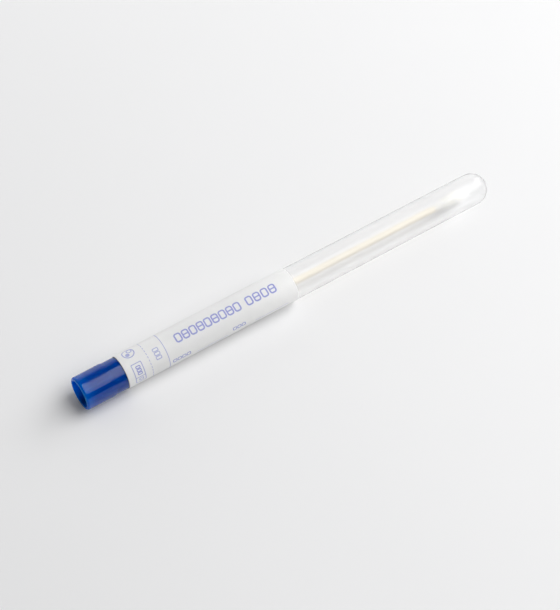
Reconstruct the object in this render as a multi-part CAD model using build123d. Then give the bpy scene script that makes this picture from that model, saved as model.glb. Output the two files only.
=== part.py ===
from build123d import *
import math
import os

# Specimen swab tube, lying on its side on a flat surface.
# Millimetres. +Z is up and +X runs along the tube, from the cap to the round bottom.
# The origin lies on the surface, under the middle of the whole part.
#
# Each piece is drawn round the Z axis in "tube coordinates": z = 0 is the mouth of the tube, the tube
# runs to +z and the cap's handle stands out to -z. lay_down() then turns the piece onto its side.

# tube: one moulding, open at the mouth, with a round bottom
TUBE_LENGTH = 150.0
TUBE_MOUTH_OD = 12.0
TUBE_WALL = 1.1
TUBE_BOTTOM_WALL = 1.3
TUBE_DRAFT_DEG = 0.1
TUBE_LIP_ROUND = 0.1
TUBE_BORE_LEAD = 0.25

# cap: one moulding, a hollow handle above the mouth and a plug below it
HANDLE_LENGTH = 10.4
HANDLE_STEP = 0.1          # how far the handle stands proud of the tube's wall
HANDLE_WALL = 1.15
HANDLE_DRAFT_DEG = 0.4
RIM_ROUND = 0.7            # outer edge of the rim
RIM_LEAD = 0.12            # inner edge of the rim
SHOULDER_LENGTH = 1.2
SHOULDER_ROUND = 1.0
COLLAR_LENGTH = 4.4
COLLAR_SETBACK = 0.12      # how far the collar lies inside the tube's wall
WEB_THICKNESS = 1.2
WEB_RISE = 1.2             # from the mouth up to the web's underside
CORNER_BREAK = 0.3         # size of the sloping corners inside the handle

# shallow facets round the handle, from the plain band at the rim out through the shoulder
RIM_BAND = 2.0
FACET_COUNT = 24
FACET_LAND = 0.14          # width left between two facets
FACET_RADIUS = 14.0        # a facet is slightly domed
FACET_TURN_DEG = 4.7       # middle of a facet, counted from straight down towards +Y

# plug
PLUG_LENGTH = 7.0
PLUG_WALL = 0.9
PLUG_TIP_CHAMFER = 0.35
BEAD_COUNT = 2
BEAD_PITCH = 2.2
BEAD_FIRST = 2.0           # from the mouth to the middle of the first bead
BEAD_CREST = 0.3           # width of a bead's crest, between its sloping flanks
BEAD_FLANK_DEG = 50.0      # slope of a flank, from the plug's wall
BEAD_CLEARANCE = 0.08      # bead to bore, on the radius
PLUG_CLEARANCE = 0.35      # plug wall to bore, on the radius

# socket for the stick
SOCKET_WALL = 1.0
SOCKET_ROOF = 1.0
SOCKET_BELOW_MOUTH = 5.0
SOCKET_TOP_BELOW_RIM = 5.0
SOCKET_LEAD = 0.3

# swab
STICK_DIAMETER = 2.4
STICK_END_CHAMFER = 0.2
BUD_DIAMETER = 5.2
BUD_LENGTH = 12.4
BUD_TIP_LENGTH = 4.2       # from the widest place to the tip
BUD_NOSE_RADIUS = 1.9
BUD_EDGE = 0.15            # thickness of the cotton where it starts on the stick
BUD_TIP_COVER = 0.6        # cotton over the end of the stick
BUD_TIP_GAP = 8.1          # free space between the bud and the tube's bottom

# label
LABEL_LENGTH = 67.7
LABEL_THICKNESS = 0.1
LABEL_SETBACK = 0.1        # from the mouth to the label's edge
LABEL_LAP = 3.0            # width of the glued lap
LABEL_LAP_TURN_DEG = 50.0  # middle of the lap, counted from straight down towards +Y

# sizes that follow
CAP_HEIGHT = HANDLE_LENGTH + SHOULDER_LENGTH + COLLAR_LENGTH
TUBE_MOUTH_RADIUS = TUBE_MOUTH_OD / 2
HANDLE_RADIUS = TUBE_MOUTH_RADIUS + HANDLE_STEP
COLLAR_RADIUS = TUBE_MOUTH_RADIUS - COLLAR_SETBACK
STICK_RADIUS = STICK_DIAMETER / 2
SOCKET_RADIUS = STICK_RADIUS + SOCKET_WALL
PLUG_RADIUS = TUBE_MOUTH_RADIUS - TUBE_WALL - PLUG_CLEARANCE
SOCKET_TOP_Z = SOCKET_TOP_BELOW_RIM - CAP_HEIGHT
STICK_BUTT_Z = SOCKET_TOP_Z + SOCKET_ROOF
TUBE_FLOOR_Z = TUBE_LENGTH - TUBE_BOTTOM_WALL
BUD_TIP_Z = TUBE_FLOOR_Z - BUD_TIP_GAP
STICK_TIP_Z = BUD_TIP_Z - BUD_TIP_COVER
LABEL_END_Z = LABEL_SETBACK + LABEL_LENGTH
AXIS_HEIGHT = max(HANDLE_RADIUS, TUBE_MOUTH_RADIUS + LABEL_THICKNESS)
MIDDLE_Z = (TUBE_LENGTH - CAP_HEIGHT) / 2


def draft(length):
    """How much the tube's radius drops over a length, from its draft angle."""
    return length * math.tan(math.radians(TUBE_DRAFT_DEG))


def wall_radius(z):
    """Outer radius of the tube at a distance z from the mouth."""
    return TUBE_MOUTH_RADIUS - draft(z)


def bore_radius(z):
    """Inner radius of the tube at a distance z from the mouth."""
    return wall_radius(z) - TUBE_WALL


def hollow_radius(z):
    """Radius of the handle's hollow, widest at the rim and drafted inwards."""
    depth = z + CAP_HEIGHT
    return HANDLE_RADIUS - HANDLE_WALL - depth * math.tan(math.radians(HANDLE_DRAFT_DEG))


def section(*edges):
    """A closed half section in the XZ plane: x is the radius and z runs along the tube."""
    return (Plane.XZ * make_face(Curve() + list(edges))).face()


def corner_at(profile, radius, z):
    """The corner of a half section at a radius and a height."""
    return profile.vertices().sort_by_distance((radius, 0, z))[0]


def turned(*edges):
    """A solid of revolution about the tube's axis."""
    return revolve(section(*edges), Axis.Z)


def lay_down(shape):
    """From tube coordinates to the part's frame, with the part lying on its side."""
    return Pos(-MIDDLE_Z, 0, AXIS_HEIGHT) * Rot(0, 90, 0) * shape


def round_end_radius(mouth_radius, tip_z):
    """Radius of the half ball that closes a drafted wall and has its tip at tip_z."""
    slope = draft(1)
    return (mouth_radius - tip_z * slope) / (1 - slope)


def tube():
    """Drafted wall with a round bottom outside and in, a rounded lip and a lead into the bore."""
    end_r = round_end_radius(wall_radius(0), TUBE_LENGTH)
    round_z = TUBE_LENGTH - end_r
    bore_end_r = round_end_radius(bore_radius(0), TUBE_FLOOR_Z)
    bore_round_z = TUBE_FLOOR_Z - bore_end_r
    lip_start = (wall_radius(TUBE_LIP_ROUND) - TUBE_LIP_ROUND, 0)
    lip_end = (wall_radius(TUBE_LIP_ROUND), TUBE_LIP_ROUND)
    bore_start = (bore_radius(TUBE_BORE_LEAD), TUBE_BORE_LEAD)
    lead_start = (bore_radius(TUBE_BORE_LEAD) + TUBE_BORE_LEAD, 0)
    return turned(
        Line(lead_start, lip_start),
        RadiusArc(lip_start, lip_end, -TUBE_LIP_ROUND),
        Line(lip_end, (end_r, round_z)),
        CenterArc((0, round_z), end_r, 0, 90),
        Line((0, TUBE_LENGTH), (0, TUBE_FLOOR_Z)),
        CenterArc((0, bore_round_z), bore_end_r, 0, 90),
        Line((bore_end_r, bore_round_z), bore_start),
        Line(bore_start, lead_start),
    )


def cap_section():
    """Half section of the cap, before its corners are rounded."""
    rim_z = -CAP_HEIGHT
    shoulder_z = rim_z + HANDLE_LENGTH
    web_under_z = -WEB_RISE
    web_top_z = web_under_z - WEB_THICKNESS
    return section(
        Polyline(
            (0, SOCKET_TOP_Z),
            (SOCKET_RADIUS, SOCKET_TOP_Z),
            (SOCKET_RADIUS, web_top_z),
            (hollow_radius(web_top_z), web_top_z),
            (hollow_radius(rim_z), rim_z),
            (HANDLE_RADIUS, rim_z),
            (HANDLE_RADIUS, shoulder_z),
            (COLLAR_RADIUS, -COLLAR_LENGTH),
            (COLLAR_RADIUS, 0),
            (PLUG_RADIUS, 0),
            (PLUG_RADIUS, PLUG_LENGTH),
            (PLUG_RADIUS - PLUG_WALL, PLUG_LENGTH),
            (PLUG_RADIUS - PLUG_WALL, web_under_z),
            (SOCKET_RADIUS, web_under_z),
            (SOCKET_RADIUS, SOCKET_BELOW_MOUTH),
            (STICK_RADIUS, SOCKET_BELOW_MOUTH),
            (STICK_RADIUS, STICK_BUTT_Z),
            (0, STICK_BUTT_Z),
            close=True,
        )
    )


def soften_cap(profile):
    """Rounds on the corners that a hand meets, and sloping corners in the hollow and at the leads."""
    rim_z = -CAP_HEIGHT
    web_top_z = -WEB_RISE - WEB_THICKNESS
    groove_width = hollow_radius(web_top_z) - SOCKET_RADIUS
    corner = min(CORNER_BREAK, groove_width / 3)
    rounds = [
        (RIM_ROUND, HANDLE_RADIUS, rim_z),
        (SHOULDER_ROUND, HANDLE_RADIUS, rim_z + HANDLE_LENGTH),
        (SHOULDER_ROUND, COLLAR_RADIUS, -COLLAR_LENGTH),
    ]
    slopes = [
        (RIM_LEAD, hollow_radius(rim_z), rim_z),
        (corner, SOCKET_RADIUS, SOCKET_TOP_Z),
        (corner, SOCKET_RADIUS, web_top_z),
        (corner, hollow_radius(web_top_z), web_top_z),
        (PLUG_TIP_CHAMFER, PLUG_RADIUS, PLUG_LENGTH),
        (SOCKET_LEAD, STICK_RADIUS, SOCKET_BELOW_MOUTH),
    ]
    for size, radius, z in rounds:
        profile = profile.fillet_2d(size, [corner_at(profile, radius, z)])
    for size, radius, z in slopes:
        profile = profile.chamfer_2d(size, size, [corner_at(profile, radius, z)])
    return profile


def facet_cutter():
    """A ring whose hole has one slightly domed side per facet, and leaves a narrow land between two.

    Each side is part of a circle about a point `centre` from the axis, on the far side of it.
    """
    half_turn = math.pi / FACET_COUNT
    edge_turn = half_turn - FACET_LAND / 2 / HANDLE_RADIUS
    half_width = HANDLE_RADIUS * math.sin(edge_turn)
    centre = HANDLE_RADIUS * math.cos(edge_turn) - math.sqrt(FACET_RADIUS ** 2 - half_width ** 2)
    offset = centre * math.sin(half_turn)
    corner_radius = centre * math.cos(half_turn) + math.sqrt(FACET_RADIUS ** 2 - offset ** 2)
    corner_x = corner_radius * math.cos(half_turn)
    corner_y = corner_radius * math.sin(half_turn)
    side = ThreePointArc((corner_x, -corner_y), (centre + FACET_RADIUS, 0), (corner_x, corner_y))
    outline = Curve() + list(PolarLocations(0, FACET_COUNT, FACET_TURN_DEG) * side)
    length = HANDLE_LENGTH - RIM_BAND + SHOULDER_LENGTH / 2
    blank = Cylinder(2 * HANDLE_RADIUS, length, align=(Align.CENTER, Align.CENTER, Align.MIN))
    return Pos(0, 0, RIM_BAND - CAP_HEIGHT) * (blank - extrude(make_face(outline), length))


def bead(middle_z):
    """A sealing ring that stands out of the plug, its crest just clear of the bore."""
    crest_radius = bore_radius(middle_z) - BEAD_CLEARANCE
    root_radius = PLUG_RADIUS - PLUG_WALL / 2
    half_crest = BEAD_CREST / 2
    half_root = half_crest + (crest_radius - root_radius) / math.tan(math.radians(BEAD_FLANK_DEG))
    return turned(
        Polyline(
            (root_radius, middle_z - half_root),
            (crest_radius, middle_z - half_crest),
            (crest_radius, middle_z + half_crest),
            (root_radius, middle_z + half_root),
            close=True,
        )
    )


def cap():
    """Hollow faceted handle, shoulder, collar, web with a blind socket, and a plug with beads."""
    blank = revolve(soften_cap(cap_section()), Axis.Z) - facet_cutter()
    return blank + [bead(BEAD_FIRST + index * BEAD_PITCH) for index in range(BEAD_COUNT)]


def stick():
    """Plain round shaft, from the socket's floor into the bud."""
    shaft = Pos(0, 0, STICK_BUTT_Z) * Cylinder(
        STICK_RADIUS, STICK_TIP_Z - STICK_BUTT_Z, align=(Align.CENTER, Align.CENTER, Align.MIN)
    )
    return chamfer(shaft.edges().filter_by(GeomType.CIRCLE), STICK_END_CHAMFER)


def bud():
    """Wound cotton: a long slim arc up from the stick, a rounder arc past the widest place, a ball nose."""
    radius = BUD_DIAMETER / 2
    nose = BUD_NOSE_RADIUS
    widest_z = BUD_TIP_Z - BUD_TIP_LENGTH
    nose_z = BUD_TIP_Z - nose
    edge_r = STICK_RADIUS + BUD_EDGE
    edge_z = BUD_TIP_Z - BUD_LENGTH
    slim = ((widest_z - edge_z) ** 2 + (radius - edge_r) ** 2) / (radius - edge_r) / 2
    full = (radius ** 2 + BUD_TIP_LENGTH ** 2 - 2 * BUD_TIP_LENGTH * nose) / (radius - nose) / 2
    share = nose / (full - nose)
    blend = (share * (full - radius), nose_z + share * (nose_z - widest_z))
    cotton = turned(
        Line((0, BUD_TIP_Z), (0, edge_z)),
        Line((0, edge_z), (edge_r, edge_z)),
        RadiusArc((edge_r, edge_z), (radius, widest_z), -slim),
        RadiusArc((radius, widest_z), blend, -full),
        RadiusArc(blend, (0, BUD_TIP_Z), -nose),
    )
    return cotton - stick()


def label_band(inner_step, turn_deg):
    """One thickness of paper that follows the tube's draft, a given step out from its wall."""
    corners = []
    for z, step in (
        (LABEL_SETBACK, inner_step),
        (LABEL_SETBACK, inner_step + LABEL_THICKNESS),
        (LABEL_END_Z, inner_step + LABEL_THICKNESS),
        (LABEL_END_Z, inner_step),
    ):
        corners.append((wall_radius(z) + step, z))
    return revolve(section(Polyline(*corners, close=True)), Axis.Z, revolution_arc=turn_deg)


def label():
    """Paper wrapped once round the tube, with its end glued over its start."""
    lap_deg = math.degrees(LABEL_LAP / (TUBE_MOUTH_RADIUS + LABEL_THICKNESS))
    lap = label_band(LABEL_THICKNESS, lap_deg)
    return label_band(0, 360) + Rot(0, 0, LABEL_LAP_TURN_DEG - lap_deg / 2) * lap


def main():
    os.makedirs("parts", exist_ok=True)
    pieces = {"tube": tube(), "cap": cap(), "stick": stick(), "bud": bud(), "label": label()}
    for name, piece in pieces.items():
        export_step(lay_down(piece), f"parts/{name}.step")


main()
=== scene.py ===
import math

import bmesh
import bpy
import numpy as np
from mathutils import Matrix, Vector


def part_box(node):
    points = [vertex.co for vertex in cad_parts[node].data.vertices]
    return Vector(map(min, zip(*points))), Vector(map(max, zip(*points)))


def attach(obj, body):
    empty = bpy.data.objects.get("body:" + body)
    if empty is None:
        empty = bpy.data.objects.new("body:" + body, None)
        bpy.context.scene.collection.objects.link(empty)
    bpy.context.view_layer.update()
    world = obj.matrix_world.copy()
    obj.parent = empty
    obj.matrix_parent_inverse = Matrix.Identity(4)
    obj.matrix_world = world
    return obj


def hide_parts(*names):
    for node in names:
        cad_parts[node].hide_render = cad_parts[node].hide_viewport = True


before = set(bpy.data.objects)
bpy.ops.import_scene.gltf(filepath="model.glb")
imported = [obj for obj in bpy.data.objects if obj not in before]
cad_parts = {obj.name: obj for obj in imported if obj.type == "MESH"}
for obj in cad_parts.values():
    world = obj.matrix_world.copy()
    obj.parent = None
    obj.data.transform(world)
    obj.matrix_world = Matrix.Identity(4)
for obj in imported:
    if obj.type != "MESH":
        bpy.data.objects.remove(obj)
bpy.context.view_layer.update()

# Specimen swab tube: a clear moulded tube with a paper label, and a blue cap that carries a birch
# stick with a cotton bud. The tube lies along X. A place on a round piece is given by its station x,
# its radius r, and its turn, counted from straight up towards the front.

MM = 0.001

cap_low, cap_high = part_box("cap")
tube_low, tube_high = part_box("tube")
label_low, label_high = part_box("label")
stick_low, stick_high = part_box("stick")
bud_low, bud_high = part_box("bud")

# places that the frame gives
AXIS_Z = (cap_low.z + cap_high.z) / 2
RIM_X = cap_low.x
PLUG_END_X = cap_high.x
MOUTH_X = tube_low.x
TIP_X = tube_high.x
MOUTH_RADIUS = (tube_high.z - tube_low.z) / 2
HANDLE_RADIUS = (cap_high.z - cap_low.z) / 2
STICK_RADIUS = (stick_high.z - stick_low.z) / 2
BUD_RADIUS = (bud_high.z - bud_low.z) / 2

# tube
TUBE_WALL = 1.1 * MM
TUBE_FLOOR_X = TIP_X - 1.3 * MM
TUBE_SLOPE = math.tan(math.radians(0.1))
TUBE_LIP_ROUND = 0.1 * MM
TUBE_BORE_LEAD = 0.25 * MM

# cap
HANDLE_WALL = 1.15 * MM
HOLLOW_SLOPE = math.tan(math.radians(0.4))
SHOULDER_X = RIM_X + 10.4 * MM
COLLAR_X = MOUTH_X - 4.4 * MM
COLLAR_RADIUS = MOUTH_RADIUS - 0.12 * MM
WEB_TOP_X = MOUTH_X - 2.4 * MM
WEB_UNDER_X = MOUTH_X - 1.2 * MM
SOCKET_TOP_X = RIM_X + 5.0 * MM
SOCKET_MOUTH_X = MOUTH_X + 5.0 * MM
SOCKET_RADIUS = STICK_RADIUS + 1.0 * MM
PLUG_RADIUS = MOUTH_RADIUS - TUBE_WALL - 0.35 * MM
PLUG_INNER_RADIUS = PLUG_RADIUS - 0.9 * MM
BEAD_PLACES = (MOUTH_X + 2.0 * MM, MOUTH_X + 4.2 * MM)
BEAD_CLEARANCE = 0.08 * MM
FACET_COUNT = 24
FACET_RADIUS = 14.0 * MM
FACET_LAND = 0.14 * MM
FACET_START_X = RIM_X + 2.0 * MM
FACET_TURN = math.radians(4.7)
FACETS_RUN_IN = 0.12 * MM

# bud
BUD_START_X = bud_low.x
BUD_END_X = bud_high.x
BUD_WIDEST_X = BUD_END_X - 4.2 * MM

# label
PAPER_THICKNESS = 0.085 * MM
PAPER_GAP = 0.004 * MM
PAPER_LAP = 3.0 * MM
PAPER_CURL = 0.005 * MM
LAP_MIDDLE = math.radians(230)
LAP_CLIMB = 1.0 * MM
EDGE_ROWS = np.array([0, 0.01, 0.12, 0.3, 0.55]) * MM
# how far the label's map moves its inner face, so that it carries no print
PLAIN_SIDE = 500

# finishes
CLEAR = {"Base Color": (1.0, 1.0, 1.0, 1), "Transmission Weight": 1.0, "IOR": 1.33}
HAZE_SHARE = 0.3
PAST_THE_TUBE = 0.99
PAST_THE_SWAB = 0.7


def blend_in(value):
    """Smooth step: 3 v squared minus 2 v cubed, with v held between 0 and 1."""
    held = np.clip(value, 0, 1)
    return held * held * (3 - 2 * held)


def wall_radius(x):
    """Outer radius of the tube: the radius at the mouth less the draft's slope times the distance."""
    return MOUTH_RADIUS - (x - MOUTH_X) * TUBE_SLOPE


def bore_radius(x):
    """Inner radius of the tube."""
    return wall_radius(x) - TUBE_WALL


def hollow_radius(x):
    """Radius of the handle's hollow, drafted inwards from the rim."""
    return HANDLE_RADIUS - HANDLE_WALL - (x - RIM_X) * HOLLOW_SLOPE


def arc(centre_x, radius, start_deg, stop_deg, steps):
    """Points of a circle round the axis point: x = centre + radius cos(angle), r = radius sin(angle)."""
    angle = np.radians(np.linspace(start_deg, stop_deg, steps))
    return np.stack([centre_x + radius * np.cos(angle), radius * np.sin(angle)], axis=1)


def rounded(corners, steps=7, guard=0.04 * MM):
    """An outline through (x, r, rounding) corners.

    A corner with a rounding becomes an arc that touches both sides. With half the corner's inner
    angle h, the arc starts rounding / tan(h) from the corner, and its centre lies rounding / sin(h)
    from it. A guard point on each side keeps the shading of the straight runs flat.
    """
    places = np.array([corner[:2] for corner in corners])
    runs = []
    for index, (x, r, rounding) in enumerate(corners):
        corner = np.array([x, r])
        if rounding == 0:
            runs.append(corner[None])
            continue
        back = places[index - 1] - corner
        ahead = places[index + 1] - corner
        back /= np.linalg.norm(back)
        ahead /= np.linalg.norm(ahead)
        half = math.acos(float(back @ ahead)) / 2
        middle = (back + ahead) / np.linalg.norm(back + ahead)
        centre = corner + middle * rounding / math.sin(half)
        start = corner + back * rounding / math.tan(half) - centre
        swing = math.pi - 2 * half
        turn = math.copysign(1, back[0] * ahead[1] - back[1] * ahead[0])
        angle = -turn * np.linspace(0, swing, steps)
        turned_x = start[0] * np.cos(angle) - start[1] * np.sin(angle)
        turned_r = start[0] * np.sin(angle) + start[1] * np.cos(angle)
        bend = centre + np.stack([turned_x, turned_r], axis=1)
        runs.append(np.concatenate([bend[:1] + back * guard, bend, bend[-1:] + ahead * guard]))
    return np.concatenate(runs)


def turned(x, r, turn):
    """Surface round the tube's axis: y = -r sin(turn), z = axis height + r cos(turn)."""
    x, r, turn = np.broadcast_arrays(x, r, turn)
    return np.stack([x, -r * np.sin(turn), AXIS_Z + r * np.cos(turn)], axis=-1)


def full_turn(steps):
    """Evenly spaced turns right round, without the last, which is the first again."""
    return np.linspace(0, 2 * math.pi, steps, endpoint=False)


def grid_faces(rows, columns, closed):
    """Quads between neighbouring points of a grid, and from its last column to its first if closed."""
    index = np.arange(rows * columns).reshape(rows, columns)
    if closed:
        index = np.concatenate([index, index[:, :1]], axis=1)
    quads = [index[:-1, :-1], index[:-1, 1:], index[1:, 1:], index[1:, :-1]]
    return np.stack(quads, axis=-1).reshape(-1, 4)


def make_mesh(name, points, faces, material):
    """A smooth-shaded mesh object at the origin, with doubled points merged and faces outwards."""
    mesh = bpy.data.meshes.new(name)
    mesh.from_pydata(points.reshape(-1, 3), [], faces)
    shape = bmesh.new()
    shape.from_mesh(mesh)
    bmesh.ops.remove_doubles(shape, verts=shape.verts, dist=1e-7)
    bmesh.ops.recalc_face_normals(shape, faces=shape.faces)
    shape.to_mesh(mesh)
    shape.free()
    mesh.shade_smooth()
    mesh.materials.append(material)
    piece = bpy.data.objects.new(name, mesh)
    bpy.context.scene.collection.objects.link(piece)
    return piece


def settle(piece, body, node):
    """The piece moves with its body and, where it has one, stands for its CAD node, which is hidden."""
    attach(piece, body)
    if node:
        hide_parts(node)


# ---------------------------------------------------------------- finishes


def add_node(tree, kind, inputs=None, **settings):
    """Adds a node with its settings, and gives each input a value or joins it to an output."""
    made = tree.nodes.new(kind)
    for key, value in settings.items():
        setattr(made, key, value)
    for key, value in (inputs or {}).items():
        if isinstance(value, bpy.types.NodeSocket):
            tree.links.new(value, made.inputs[key])
        else:
            made.inputs[key].default_value = value
    return made


def calculate(tree, operation, first, second=0.0):
    """The output of a Math node."""
    return add_node(tree, "ShaderNodeMath", {0: first, 1: second}, operation=operation).outputs[0]


def vector_calculate(tree, operation, first, second=(0, 0, 0), output="Vector"):
    """The output of a Vector Math node."""
    made = add_node(tree, "ShaderNodeVectorMath", {0: first, 1: second}, operation=operation)
    return made.outputs[output]


def new_finish(name, values):
    """A material with one Principled shader and its uniform values. Returns it, its tree and shader."""
    material = bpy.data.materials.new(name)
    material.use_nodes = True
    tree = material.node_tree
    shader = tree.nodes["Principled BSDF"]
    for key, value in values.items():
        shader.inputs[key].default_value = value
    return material, tree, shader


def millimetres(tree, stretch=(1, 1, 1)):
    """Object coordinates in millimetres, drawn out along each axis by a stretch."""
    place = add_node(tree, "ShaderNodeTexCoord").outputs["Object"]
    scale = tuple(1000 / value for value in stretch)
    return add_node(tree, "ShaderNodeMapping", {"Vector": place, "Scale": scale}).outputs[0]


def noise(tree, place, scale, detail=3.0, rough=0.55, distortion=0.0):
    """The value of a noise texture, around 0.5."""
    values = {
        "Vector": place,
        "Scale": scale,
        "Detail": detail,
        "Roughness": rough,
        "Distortion": distortion,
    }
    return add_node(tree, "ShaderNodeTexNoise", values).outputs["Fac"]


def ramp(tree, value, low, high, low_to=0.0, high_to=1.0):
    """Carries a value from one range to another, held at both ends."""
    values = {"Value": value, "From Min": low, "From Max": high, "To Min": low_to, "To Max": high_to}
    return add_node(tree, "ShaderNodeMapRange", values).outputs["Result"]


def mix_colour(tree, share, first, second):
    """The first colour where share is 0 and the second where it is 1."""
    values = {0: share, 6: first, 7: second}
    return add_node(tree, "ShaderNodeMix", values, data_type="RGBA").outputs[2]


def bump(tree, height, distance, strength=1.0):
    """A normal from a height that runs from 0 to 1 over a distance in metres."""
    values = {"Height": height, "Distance": distance, "Strength": strength}
    return add_node(tree, "ShaderNodeBump", values).outputs["Normal"]


def soften_shadow(tree, share):
    """Lets a share of the lamps' light straight past the piece. It stands in for the light that
    clear walls bend round what is inside them."""
    surface = tree.nodes["Material Output"].inputs["Surface"]
    shader = surface.links[0].from_socket
    to_lamp = add_node(tree, "ShaderNodeLightPath").outputs["Is Shadow Ray"]
    tint = {"Color": (share, share, share, 1)}
    passing = add_node(tree, "ShaderNodeBsdfTransparent", tint).outputs[0]
    either = add_node(tree, "ShaderNodeMixShader", {0: to_lamp, 1: shader, 2: passing}).outputs[0]
    tree.links.new(either, surface)


def clear_plastic():
    """Clear moulded plastic with faint flow lines along the tube. A share of what passes is spread more
    widely, as haze. Lamps' light passes with a small loss, so that what lies inside and below is lit."""
    material, tree, shader = new_finish(
        "clear_moulded_plastic", {**CLEAR, "Specular IOR Level": 0.3, "Roughness": 0.1}
    )
    flow = noise(tree, millimetres(tree, (30, 1, 1)), 0.9, detail=2)
    tree.links.new(bump(tree, flow, 0.004 * MM), shader.inputs["Normal"])
    haze = add_node(tree, "ShaderNodeBsdfPrincipled", {**CLEAR, "Roughness": 0.32}).outputs[0]
    both = {0: HAZE_SHARE, 1: shader.outputs[0], 2: haze}
    mixed = add_node(tree, "ShaderNodeMixShader", both).outputs[0]
    tree.links.new(mixed, tree.nodes["Material Output"].inputs["Surface"])
    soften_shadow(tree, PAST_THE_TUBE)
    return material


def blue_plastic():
    """Glossy blue moulding that lets some light through. Within 4 mm of the rim, inside and out, the base
    colour is painted a lighter, clearer blue: a painted glow for the light that shines through the thin
    wall there. The rim also shows less of its surroundings. The skin is finely grained, with faint scuffs
    along the handle."""
    material, tree, shader = new_finish(
        "blue_moulded_plastic",
        {
            "Base Color": (0.0, 0.044, 0.28, 1),
            "Roughness": 0.15,
            "IOR": 1.48,
            "Subsurface Weight": 1.0,
            "Subsurface Radius": (0.05, 4.5, 9.0),
            "Subsurface Scale": 1.0 * MM,
        },
    )
    place = add_node(tree, "ShaderNodeTexCoord").outputs["Object"]
    station = add_node(tree, "ShaderNodeSeparateXYZ", {0: place}).outputs[0]
    from_rim = calculate(tree, "SUBTRACT", station, RIM_X)
    cloud = noise(tree, millimetres(tree, (3, 1, 1)), 0.5)
    body = mix_colour(tree, cloud, (0.0, 0.039, 0.26, 1), (0.0, 0.048, 0.305, 1))
    # painted glow: towards the rim the base colour turns a lighter, clearer blue, standing in for light
    # shining through the thin wall
    colour = mix_colour(tree, ramp(tree, from_rim, 0, 4 * MM, 1.0, 0.0), body, (0.0, 0.09, 0.38, 1))
    tree.links.new(colour, shader.inputs["Base Color"])
    tree.links.new(ramp(tree, from_rim, 0.3 * MM, 0.9 * MM, 0.1, 0.5), shader.inputs["Specular IOR Level"])
    scuff = noise(tree, millimetres(tree, (14, 1, 1)), 3.2, detail=4)
    tree.links.new(ramp(tree, scuff, 0.35, 0.75, 0.11, 0.20), shader.inputs["Roughness"])
    grain = noise(tree, millimetres(tree), 7.0, detail=3)
    tree.links.new(bump(tree, grain, 0.003 * MM), shader.inputs["Normal"])
    return material


def birch():
    """Pale birch: long fine grain lines, short darker flecks and a dry, slightly rough skin."""
    material, tree, shader = new_finish("birch_wood", {"Roughness": 0.6, "IOR": 1.45})
    lines = noise(tree, millimetres(tree, (26, 1, 1)), 3.4, detail=4, distortion=0.3)
    cloud = noise(tree, millimetres(tree, (9, 1, 1)), 0.5)
    flecks = noise(tree, millimetres(tree, (7, 1, 1)), 9.0, detail=2)
    wood = mix_colour(tree, ramp(tree, lines, 0.3, 0.7), (0.77, 0.70, 0.57, 1), (0.85, 0.80, 0.70, 1))
    toned = mix_colour(tree, ramp(tree, cloud, 0.3, 0.7, 0.0, 0.4), wood, (0.86, 0.83, 0.75, 1))
    marked = mix_colour(tree, ramp(tree, flecks, 0.66, 0.76, 0.0, 0.55), toned, (0.52, 0.34, 0.17, 1))
    tree.links.new(marked, shader.inputs["Base Color"])
    tree.links.new(bump(tree, lines, 0.05 * MM), shader.inputs["Normal"])
    soften_shadow(tree, PAST_THE_SWAB)
    return material


def cotton():
    """Wound cotton: fine threads round the bud over soft tufts, with the sheen of loose fibre."""
    material, tree, shader = new_finish(
        "wound_cotton",
        {
            "Roughness": 0.95,
            "Sheen Weight": 0.35,
            "Sheen Roughness": 0.6,
            "Specular IOR Level": 0.2,
            "Subsurface Weight": 1.0,
            "Subsurface Radius": (3.0, 3.0, 2.8),
            "Subsurface Scale": 1.0 * MM,
        },
    )
    threads = noise(tree, millimetres(tree, (1, 9, 9)), 8.0, detail=4, distortion=0.8)
    tufts = noise(tree, millimetres(tree), 1.3)
    thread = ramp(tree, threads, 0.25, 0.7)
    shade = mix_colour(tree, thread, (0.81, 0.80, 0.765, 1), (0.89, 0.885, 0.865, 1))
    colour = mix_colour(tree, ramp(tree, tufts, 0.3, 0.7, 0.0, 0.35), shade, (0.90, 0.90, 0.88, 1))
    tree.links.new(colour, shader.inputs["Base Color"])
    tree.links.new(bump(tree, threads, 0.12 * MM), shader.inputs["Normal"])
    soften_shadow(tree, PAST_THE_SWAB)
    return material


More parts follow.
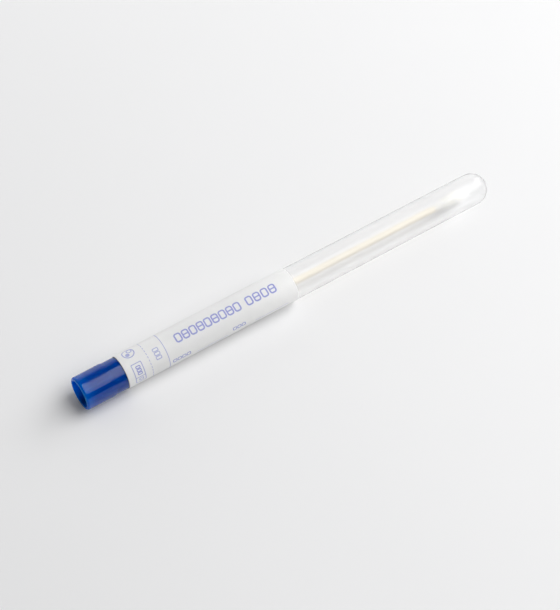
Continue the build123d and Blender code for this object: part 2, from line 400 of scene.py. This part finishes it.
def printed_box_group():
    """Node group: 1 inside a rounded box and 0 outside, or along its edge where a line is given.

    q is the distance from the middle, per axis and without sign, less the half size, plus the corner.
    The signed distance is the length of q above zero, plus the larger of q where both are below zero,
    less the corner. With a line, the distance becomes its size without sign, less half the line.
    """
    group = bpy.data.node_groups.new("printed_box", "ShaderNodeTree")
    for name, kind in (("Place", "Vector"), ("Middle", "Vector"), ("Half size", "Vector")):
        group.interface.new_socket(name, in_out="INPUT", socket_type="NodeSocket" + kind)
    for name in ("Corner", "Half line", "Filled"):
        group.interface.new_socket(name, in_out="INPUT", socket_type="NodeSocketFloat")
    group.interface.new_socket("Ink", in_out="OUTPUT", socket_type="NodeSocketFloat")
    given = group.nodes.new("NodeGroupInput").outputs
    offset = vector_calculate(group, "SUBTRACT", given["Place"], given["Middle"])
    unsigned = vector_calculate(group, "ABSOLUTE", offset)
    away = vector_calculate(group, "SUBTRACT", unsigned, given["Half size"])
    corner = add_node(group, "ShaderNodeCombineXYZ", {0: given["Corner"], 1: given["Corner"]}).outputs[0]
    q = vector_calculate(group, "ADD", away, corner)
    above = vector_calculate(group, "MAXIMUM", q)
    outside = vector_calculate(group, "LENGTH", above, output="Value")
    parts = add_node(group, "ShaderNodeSeparateXYZ", {0: q}).outputs
    inside = calculate(group, "MINIMUM", calculate(group, "MAXIMUM", parts[0], parts[1]), 0.0)
    distance = calculate(group, "SUBTRACT", calculate(group, "ADD", outside, inside), given["Corner"])
    edge = calculate(group, "SUBTRACT", calculate(group, "ABSOLUTE", distance), given["Half line"])
    chosen = add_node(group, "ShaderNodeMix", {0: given["Filled"], 2: edge, 3: distance}).outputs[0]
    ink = ramp(group, chosen, -0.03, 0.03, 1.0, 0.0)
    result = group.nodes.new("NodeGroupOutput")
    group.links.new(ink, result.inputs["Ink"])
    return group


def label_marks():
    """The label's printed shapes as (middle, size, corner, line, strength).

    Middle and size are along the label from its cap end and round it from its top line, in mm.
    A line of 0 is a filled shape. Strength is how dense the ink is.
    """
    marks = [
        # a rule right round
        ((15.9, 0.0), (0.24, 200.0), 0.0, 0.0, 0.85),
        # a ring with a dot and a smaller ring in it
        ((4.3, -2.1), (4.1, 4.3), 2.0, 0.36, 0.9),
        ((3.7, -1.3), (1.5, 1.5), 0.7, 0.0, 0.85),
        ((5.0, -2.9), (1.7, 1.7), 0.8, 0.36, 0.9),
        # a frame, the rule across it and the small box under that
        ((4.5, 6.6), (3.7, 7.6), 0.15, 0.28, 0.9),
        ((4.5, 7.95), (3.7, 0.26), 0.0, 0.0, 0.9),
        ((4.65, 9.1), (1.5, 0.9), 0.1, 0.3, 0.8),
        # two lines to write on
        ((26.5 + 6.3, 10.6), (12.6, 0.2), 0.0, 0.0, 0.7),
        ((50.1 + 6.7, 10.2), (13.4, 0.2), 0.0, 0.0, 0.6),
    ]
    # short rows of small figures
    for index in range(3):
        marks.append(((4.65, 4.3 + 1.15 * index), (1.5, 0.78), 0.2, 0.32, 1.0))
        marks.append(((12.75, 1.75 + 1.45 * index), (1.9, 1.05), 0.25, 0.32, 0.8))
        marks.append(((41.8 + 1.75 * index, 8.75), (1.3, 1.2), 0.3, 0.3, 1.0))
    for index in range(4):
        marks.append(((17.9 + 1.8 * index, 9.0), (1.35, 1.2), 0.3, 0.3, 1.0))
    # two rows of large figures: a rounded box, with a bar across every second one
    for first, count, pitch in ((21.9, 9, 2.93), (50.2, 4, 3.1)):
        for index in range(count):
            middle = first + pitch * index
            marks.append(((middle, 1.63), (2.1, 2.95), 0.7, 0.56, 1.0))
            if index % 2:
                marks.append(((middle, 1.63), (1.6, 0.5), 0.0, 0.0, 1.0))
    return marks


def label_paper():
    """White coated label paper: faint fibre, and simple shapes printed in lavender blue."""
    material, tree, shader = new_finish(
        "label_paper",
        {
            "Roughness": 0.55,
            "IOR": 1.45,
            "Subsurface Weight": 1.0,
            "Subsurface Radius": (1.0, 1.0, 1.0),
            "Subsurface Scale": 0.2 * MM,
        },
    )
    place = add_node(tree, "ShaderNodeUVMap", uv_map="paper").outputs[0]
    group = printed_box_group()
    inks = []
    for (along, around), (length, width), corner, line, strength in label_marks():
        values = {
            "Place": place,
            "Middle": (along, around, 0),
            "Half size": (length / 2, width / 2, 0),
            "Corner": corner,
            "Half line": line / 2,
            "Filled": 0.0 if line else 1.0,
        }
        mark = add_node(tree, "ShaderNodeGroup", values, node_tree=group)
        inks.append(calculate(tree, "MULTIPLY", mark.outputs["Ink"], strength))
    dash_at, dash_pitch, dash_share = 9.28, 1.25, 0.62
    along, around = add_node(tree, "ShaderNodeSeparateXYZ", {0: place}).outputs[:2]
    beat = calculate(tree, "FRACT", calculate(tree, "DIVIDE", around, dash_pitch))
    dash = calculate(tree, "LESS_THAN", beat, dash_share)
    off_line = calculate(tree, "ABSOLUTE", calculate(tree, "SUBTRACT", along, dash_at))
    on_line = ramp(tree, off_line, 0.09, 0.14, 1.0, 0.0)
    inks.append(calculate(tree, "MULTIPLY", calculate(tree, "MULTIPLY", dash, on_line), 0.75))
    ink = inks[0]
    for other in inks[1:]:
        ink = calculate(tree, "MAXIMUM", ink, other)
    fibre = noise(tree, millimetres(tree), 5.0, detail=4)
    cloud = noise(tree, millimetres(tree), 0.35)
    paper = mix_colour(tree, ramp(tree, cloud, 0.3, 0.7), (0.86, 0.86, 0.86, 1), (0.88, 0.88, 0.875, 1))
    patchy = calculate(tree, "MULTIPLY", ink, ramp(tree, fibre, 0.2, 0.6, 0.8, 1.0))
    colour = mix_colour(tree, patchy, paper, (0.30, 0.33, 0.66, 1))
    tree.links.new(colour, shader.inputs["Base Color"])
    tree.links.new(bump(tree, fibre, 0.012 * MM), shader.inputs["Normal"])
    return material


# ---------------------------------------------------------------- pieces


def make_tube():
    """Clear tube: the bore from its round floor to the mouth, over the lip and back along the wall.

    Both ends are half balls. The bore's radius carries a moulding's slight unevenness, a sum of sines
    of the turn a few thousandths of a millimetre high, that fades towards both poles.
    """
    wall_end_r = (MOUTH_RADIUS - (TIP_X - MOUTH_X) * TUBE_SLOPE) / (1 - TUBE_SLOPE)
    bore_end_r = (bore_radius(MOUTH_X) - (TUBE_FLOOR_X - MOUTH_X) * TUBE_SLOPE) / (1 - TUBE_SLOPE)
    lead_x = MOUTH_X + TUBE_BORE_LEAD
    lip = rounded(
        [
            (TUBE_FLOOR_X - bore_end_r, bore_end_r, 0),
            (lead_x, bore_radius(lead_x), 0.1 * MM),
            (MOUTH_X, bore_radius(lead_x) + TUBE_BORE_LEAD, 0.06 * MM),
            (MOUTH_X, wall_radius(MOUTH_X), TUBE_LIP_ROUND),
            (TIP_X - wall_end_r, wall_end_r, 0),
        ]
    )
    bore_run = np.linspace(lip[0], lip[1], 30)[1:-1]
    wall_run = np.linspace(lip[-2], lip[-1], 30)[1:-1]
    bore_end = arc(TUBE_FLOOR_X - bore_end_r, bore_end_r, 0, 90, 25)
    wall_end = arc(TIP_X - wall_end_r, wall_end_r, 90, 0, 25)
    outline = np.concatenate([bore_end, bore_run, lip[1:-1], wall_run, wall_end])
    turn = full_turn(320)
    x, r = outline[:, :1], outline[:, 1:]
    in_bore = (np.arange(len(outline)) < len(bore_end) + len(bore_run))[:, None]
    waves = np.sin(3 * turn + 0.6) + 0.7 * np.sin(7 * turn + 2.1) + 0.4 * np.sin(13 * turn + 60 * x)
    uneven = 0.002 * MM * waves * in_bore * blend_in((r - 1 * MM) / (2 * MM))
    points = turned(x, r + uneven, turn)
    piece = make_mesh("clear_tube", points, grid_faces(len(outline), len(turn), True), clear_plastic())
    piece.visible_diffuse = False
    settle(piece, "labelled_tube", "tube")


def facet_turns():
    """Turns for the handle: evenly over each facet's width, and three close together on each land."""
    cell = 2 * math.pi / FACET_COUNT
    edge = cell / 2 - FACET_LAND / 2 / HANDLE_RADIUS
    across = np.concatenate([np.linspace(-edge, edge, 12), [cell / 2]])
    middles = FACET_TURN + cell * np.arange(FACET_COUNT)
    return (middles[:, None] + across[None, :]).ravel()


def facet_depth(turn):
    """How deep the slightly domed facets lie under the handle's skin.

    A facet is part of a circle about a point c from the axis, on its far side: its surface lies at
    the radius c cos(a) + sqrt(facet radius squared - (c sin a) squared), with a from its middle.
    """
    cell = 2 * math.pi / FACET_COUNT
    a = (turn - FACET_TURN + cell / 2) % cell - cell / 2
    edge = cell / 2 - FACET_LAND / 2 / HANDLE_RADIUS
    half_width = HANDLE_RADIUS * math.sin(edge)
    c = HANDLE_RADIUS * math.cos(edge) - math.sqrt(FACET_RADIUS ** 2 - half_width ** 2)
    surface = c * np.cos(a) + np.sqrt(FACET_RADIUS ** 2 - (c * np.sin(a)) ** 2)
    return np.maximum(HANDLE_RADIUS - surface, 0)


def plug_corners():
    """Corners along the plug, out over its two sealing beads and round its lower edge."""
    corners = [(MOUTH_X, PLUG_RADIUS, 0.05 * MM)]
    for place in BEAD_PLACES:
        crest = bore_radius(place) - BEAD_CLEARANCE
        corners += [
            (place - 0.38 * MM, PLUG_RADIUS, 0.1 * MM),
            (place - 0.15 * MM, crest, 0.12 * MM),
            (place + 0.15 * MM, crest, 0.12 * MM),
            (place + 0.38 * MM, PLUG_RADIUS, 0.1 * MM),
        ]
    corners += [
        (PLUG_END_X - 0.35 * MM, PLUG_RADIUS, 0.08 * MM),
        (PLUG_END_X, PLUG_RADIUS - 0.35 * MM, 0.08 * MM),
        (PLUG_END_X, PLUG_INNER_RADIUS, 0.08 * MM),
    ]
    return corners


def make_cap():
    """Blue cap: from the socket's roof out through the hollow, over the rim, down the faceted handle,
    the shoulder and the collar, round the plug and back up inside it to the socket's floor.

    The radius is the outline's, or the faceted handle's where that is smaller. The facets start
    over a tenth of a millimetre beside the plain band at the rim.
    """
    corners = [
        (SOCKET_TOP_X, 0, 0),
        (SOCKET_TOP_X, SOCKET_RADIUS, 0.35 * MM),
        (WEB_TOP_X, SOCKET_RADIUS, 0.35 * MM),
        (WEB_TOP_X, hollow_radius(WEB_TOP_X), 0.35 * MM),
        (RIM_X, hollow_radius(RIM_X), 0.15 * MM),
        (RIM_X, HANDLE_RADIUS, 0.7 * MM),
    ]
    for station in np.linspace(FACET_START_X - 0.02 * MM, FACET_START_X + 0.14 * MM, 7):
        corners.append((station, HANDLE_RADIUS, 0))
    corners += [
        (SHOULDER_X, HANDLE_RADIUS, 1.0 * MM),
        (COLLAR_X, COLLAR_RADIUS, 1.0 * MM),
        (MOUTH_X, COLLAR_RADIUS, 0.08 * MM),
        *plug_corners(),
        (WEB_UNDER_X, PLUG_INNER_RADIUS, 0.3 * MM),
        (WEB_UNDER_X, SOCKET_RADIUS, 0.3 * MM),
        (SOCKET_MOUTH_X, SOCKET_RADIUS, 0.06 * MM),
        (SOCKET_MOUTH_X, STICK_RADIUS + 0.3 * MM, 0.05 * MM),
        (SOCKET_MOUTH_X - 0.3 * MM, STICK_RADIUS, 0),
        (stick_low.x, STICK_RADIUS, 0),
        (stick_low.x, 0, 0),
    ]
    outline = rounded(corners, steps=8)
    turn = facet_turns()
    x, r = outline[:, :1], outline[:, 1:]
    started = blend_in((x - FACET_START_X) / FACETS_RUN_IN)
    faceted = HANDLE_RADIUS - started * facet_depth(turn)
    points = turned(x, np.minimum(r, faceted), turn)
    piece = make_mesh("blue_cap", points, grid_faces(len(outline), len(turn), True), blue_plastic())
    settle(piece, "capped_swab", "cap")


def make_stick():
    """Birch stick: a round rod with broken ends. Its radius wanders by a few microns, as sawn and
    rolled wood does, by sines of the turn and the station."""
    ends = rounded(
        [
            (stick_low.x, 0, 0),
            (stick_low.x, STICK_RADIUS, 0.18 * MM),
            (stick_high.x, STICK_RADIUS, 0.18 * MM),
            (stick_high.x, 0, 0),
        ]
    )
    half = len(ends) // 2
    run = np.linspace(ends[half - 1], ends[half], 120)[1:-1]
    outline = np.concatenate([ends[:half], run, ends[half:]])
    turn = full_turn(64)
    x, r = outline[:, :1], outline[:, 1:]
    wander = np.sin(5 * turn + 90 * x) + 0.6 * np.sin(11 * turn - 170 * x) - 1.6
    points = turned(x, r * (1 + 0.003 * wander), turn)
    piece = make_mesh("birch_stick", points, grid_faces(len(outline), len(turn), True), birch())
    settle(piece, "capped_swab", "stick")


def bud_radius(x):
    """The bud's outline: a quarter sine wave up from the stick, then a quarter of a fuller ellipse."""
    rise = (x - BUD_START_X) / (BUD_WIDEST_X - BUD_START_X)
    start = STICK_RADIUS + 0.12 * MM
    slim = start + (BUD_RADIUS - start) * np.sin(np.pi / 2 * np.clip(rise, 0, 1)) ** 1.1
    fall = np.clip((x - BUD_WIDEST_X) / (BUD_END_X - BUD_WIDEST_X), 0, 1)
    full = BUD_RADIUS * np.sqrt(1 - fall ** 2.2)
    return np.where(rise < 1, slim, full)


def make_bud():
    """Cotton bud: the outline with the dents of wound tufts, sums of sines in helical coordinates,
    cut in by up to a fifth of a millimetre."""
    along = np.linspace(0, math.pi, 210)
    x = (BUD_START_X + (BUD_END_X - BUD_START_X) * (1 - np.cos(along)) / 2)[:, None]
    turn = full_turn(220)
    mm = (x - BUD_START_X) / MM
    dents = (
        np.sin(2 * turn + 1.9 * mm)
        + 0.8 * np.sin(5 * turn - 3.1 * mm + 1.0)
        + 0.5 * np.sin(9 * turn + 6.3 * mm + 0.4)
        + 0.35 * np.sin(3 * turn + 14.0 * mm + 2.0 * np.sin(2 * turn))
        + 0.25 * np.sin(17 * turn - 11.0 * mm)
    )
    depth = 0.045 * MM * (dents + 2.6)
    r = bud_radius(x)
    points = turned(x, r - depth * blend_in(r / (1.5 * MM)), turn)
    piece = make_mesh("cotton_bud", points, grid_faces(len(x), len(turn), True), cotton())
    settle(piece, "capped_swab", "bud")
    return piece


def make_fibres(material):
    """Stray cotton fibres: each leaves the bud, bows out by up to a third of a millimetre and comes
    back, running partly along and partly round. Its section is a triangle carried along its path."""
    rng = np.random.default_rng(7)
    count, steps = 420, 9
    span = np.linspace(0, 1, steps)
    start_x = BUD_START_X + (BUD_END_X - BUD_START_X) * rng.uniform(0.04, 0.93, (count, 1))
    run = rng.normal(0, 0.9 * MM, (count, 1))
    sweep = rng.uniform(0.3, 1.5, (count, 1)) * rng.choice([-1, 1], (count, 1))
    height = rng.uniform(0.04, 0.34, (count, 1)) ** 1.4 * MM
    x = np.clip(start_x + run * span, BUD_START_X + 0.1 * MM, BUD_END_X - 0.15 * MM)
    turn = rng.uniform(0, 2 * math.pi, (count, 1)) + sweep * span
    r = bud_radius(x) - 0.15 * MM + height * np.sin(np.pi * span) * 1.6
    centre = turned(x, r, turn)
    corner = np.radians([90, 210, 330])
    thin = (0.011 * MM * np.sin(np.pi * (0.12 + 0.76 * span)))[None, :, None]
    out = turned(x, r + 1 * MM, turn) - centre
    out /= np.linalg.norm(out, axis=-1, keepdims=True)
    ahead = np.gradient(centre, axis=1)
    ahead /= np.linalg.norm(ahead, axis=-1, keepdims=True)
    side = np.cross(ahead, out)
    ring = out[:, :, None] * np.cos(corner)[:, None] + side[:, :, None] * np.sin(corner)[:, None]
    points = centre[:, :, None] + ring * thin[..., None]
    one = grid_faces(steps, 3, True)
    faces = (one[None] + (np.arange(count) * steps * 3)[:, None, None]).reshape(-1, 4)
    ends = np.array([[0, 2, 1], [steps * 3 - 3, steps * 3 - 2, steps * 3 - 1]])
    caps = (ends[None] + (np.arange(count) * steps * 3)[:, None, None]).reshape(-1, 3)
    piece = make_mesh("cotton_fibres", points, faces.tolist() + caps.tolist(), material)
    settle(piece, "capped_swab", None)


def make_label():
    """Paper label: one strip round the tube that ends over its own start.

    The inner face lies on the tube's drafted wall. Past a full turn it climbs by the paper's
    thickness over a millimetre and lies on the strip's start. Both edges lift by a few microns in
    slow waves, and close rows beside them keep their shading crisp. The outer face is the inner one
    moved out by the thickness, and four rows of quads join the two. The map named "paper" holds
    millimetres along the label and round it.
    """
    lap = PAPER_LAP / MOUTH_RADIUS
    start = LAP_MIDDLE - lap / 2 - 2 * math.pi
    stop = LAP_MIDDLE + lap / 2
    between = np.linspace(label_low.x, label_high.x, 90)[1:-1]
    x = np.concatenate([between, label_low.x + EDGE_ROWS, label_high.x - EDGE_ROWS])
    x = np.sort(x)[:, None]
    close = 0.01 * MM / MOUTH_RADIUS
    turn = np.concatenate([[start], np.linspace(start + close, stop - close, 400), [stop]])
    climb = LAP_CLIMB / MOUTH_RADIUS
    over = start + 2 * math.pi
    lift = blend_in((turn - over + climb) / climb) * (PAPER_THICKNESS + PAPER_GAP)
    to_edge = np.minimum(x - label_low.x, label_high.x - x)
    waves = 1 + np.sin(4 * turn + 1) * np.sin(9 * turn)
    curl = PAPER_CURL * waves * np.exp(-to_edge / (0.5 * MM))
    inner = wall_radius(x) + PAPER_GAP + lift + curl * blend_in((stop - turn) / 0.5)
    faces_at = [turned(x, inner + PAPER_THICKNESS, turn), turned(x, inner, turn)]
    rows, columns = faces_at[0].shape[:2]
    sheet = np.arange(rows * columns).reshape(rows, columns)
    border = np.concatenate([sheet[0], sheet[1:, -1], sheet[-1, -2::-1], sheet[-2:0:-1, 0]])
    ahead = np.roll(border, -1)
    size = rows * columns
    edge = np.stack([border, ahead, ahead + size, border + size], axis=1)
    skin = grid_faces(rows, columns, False)
    faces = np.concatenate([skin, skin[:, ::-1] + size, edge])
    piece = make_mesh("paper_label", np.stack(faces_at), faces, label_paper())
    along = np.broadcast_to((x - label_low.x) / MM, (rows, columns))
    around = np.broadcast_to(turn * (MOUTH_RADIUS + PAPER_THICKNESS) / MM, (rows, columns))
    place = np.stack([along, around], axis=-1).reshape(-1, 2)
    place = np.concatenate([place, place + [0, PLAIN_SIDE]])
    corners = np.empty(len(piece.data.loops), np.int32)
    piece.data.loops.foreach_get("vertex_index", corners)
    chart = piece.data.uv_layers.new(name="paper")
    chart.data.foreach_set("uv", place[corners].astype(np.float32).ravel())
    settle(piece, "labelled_tube", "label")


# ---------------------------------------------------------------- floor, light and camera


def make_floor():
    """A plain pale surface at the height that the part lies on."""
    half = 6.0
    corners = np.array([[-half, -half, 0], [half, -half, 0], [half, half, 0], [-half, half, 0]])
    values = {"Base Color": (0.82, 0.82, 0.825, 1), "Roughness": 0.9, "Specular IOR Level": 0.1}
    material, tree, shader = new_finish("pale_floor", values)
    cloud = noise(tree, millimetres(tree), 0.01)
    colour = mix_colour(tree, cloud, (0.81, 0.81, 0.815, 1), (0.83, 0.83, 0.835, 1))
    tree.links.new(colour, shader.inputs["Base Color"])
    floor = make_mesh("floor", corners, [[0, 1, 2, 3]], material)


def add_area_light(name, place, aim, size, brightness):
    """A rectangular light that faces a point. Its power is four times its area times its brightness."""
    lamp = bpy.data.lights.new(name, "AREA")
    lamp.shape = "RECTANGLE"
    lamp.size, lamp.size_y = size
    lamp.energy = 4 * size[0] * size[1] * brightness
    holder = bpy.data.objects.new(name, lamp)
    holder.location = place
    holder.rotation_euler = (Vector(aim) - Vector(place)).to_track_quat("-Z", "Y").to_euler()
    bpy.context.scene.collection.objects.link(holder)
    return holder


def add_lights():
    """A soft box overhead that is dimmer along its front, another beyond the tube's round end, low
    white cards behind, and a pale room, brighter in front and at that end, that gloss doesn't mirror."""
    # name, place, the point it faces, size and brightness
    boxes = (
        ("overhead_soft_box", (0.85, -0.22, 1.0), (0.85, -0.22, 0), (1.5, 1.04), 2.27),
        ("overhead_front_edge", (0.85, -0.95, 1.0), (0.85, -0.95, 0), (1.5, 0.42), 1.5),
        ("far_end_soft_box", (1.17, 0.10, 0.55), (0, 0, 0), (1.0, 0.44), 3.0),
        ("low_card_behind", (0.2, 0.5, 0.06), (0.2, 0, 0.06), (1.6, 0.12), 0.9),
        ("upper_card_behind", (0.2, 0.5, 0.24), (0.2, 0, 0.06), (1.6, 0.24), 0.5),
    )
    for box in boxes:
        add_area_light(*box).visible_camera = False
    world = bpy.data.worlds.new("pale_room")
    world.use_nodes = True
    tree = world.node_tree
    towards = add_node(tree, "ShaderNodeTexCoord").outputs["Generated"]
    side = vector_calculate(tree, "DOT_PRODUCT", towards, (0.6, -0.6, 0), output="Value")
    tree.links.new(ramp(tree, side, -1, 1, 0.0, 0.575), tree.nodes["Background"].inputs["Strength"])
    tree.nodes["Background"].inputs["Color"].default_value = (1, 1, 1, 1)
    world.cycles_visibility.glossy = False
    bpy.context.scene.world = world


def add_camera():
    """A long lens above the cap end, aimed a little to the cap's side of the middle."""
    azimuth = math.radians(-32.55)
    elevation = math.radians(55.41)
    distance = 0.8671
    aim = Vector((-4.4 * MM, -2.0 * MM, 0))
    away = Vector(
        (
            math.cos(elevation) * math.sin(azimuth),
            -math.cos(elevation) * math.cos(azimuth),
            math.sin(elevation),
        )
    )
    lens = bpy.data.cameras.new("long_lens")
    lens.lens = 147.54
    lens.sensor_width = 36
    lens.clip_start = 0.01
    lens.clip_end = 50
    camera = bpy.data.objects.new("camera", lens)
    camera.location = aim + away * distance
    camera.rotation_euler = away.to_track_quat("Z", "Y").to_euler()
    bpy.context.scene.collection.objects.link(camera)
    bpy.context.scene.camera = camera


def set_tone():
    """Colours as they are, without a film curve."""
    view = bpy.context.scene.view_settings
    view.view_transform = "Standard"
    view.look = "None"


def main():
    make_tube()
    make_cap()
    make_stick()
    bud = make_bud()
    make_fibres(bud.data.materials[0])
    make_label()
    make_floor()
    add_lights()
    add_camera()
    set_tone()


main()
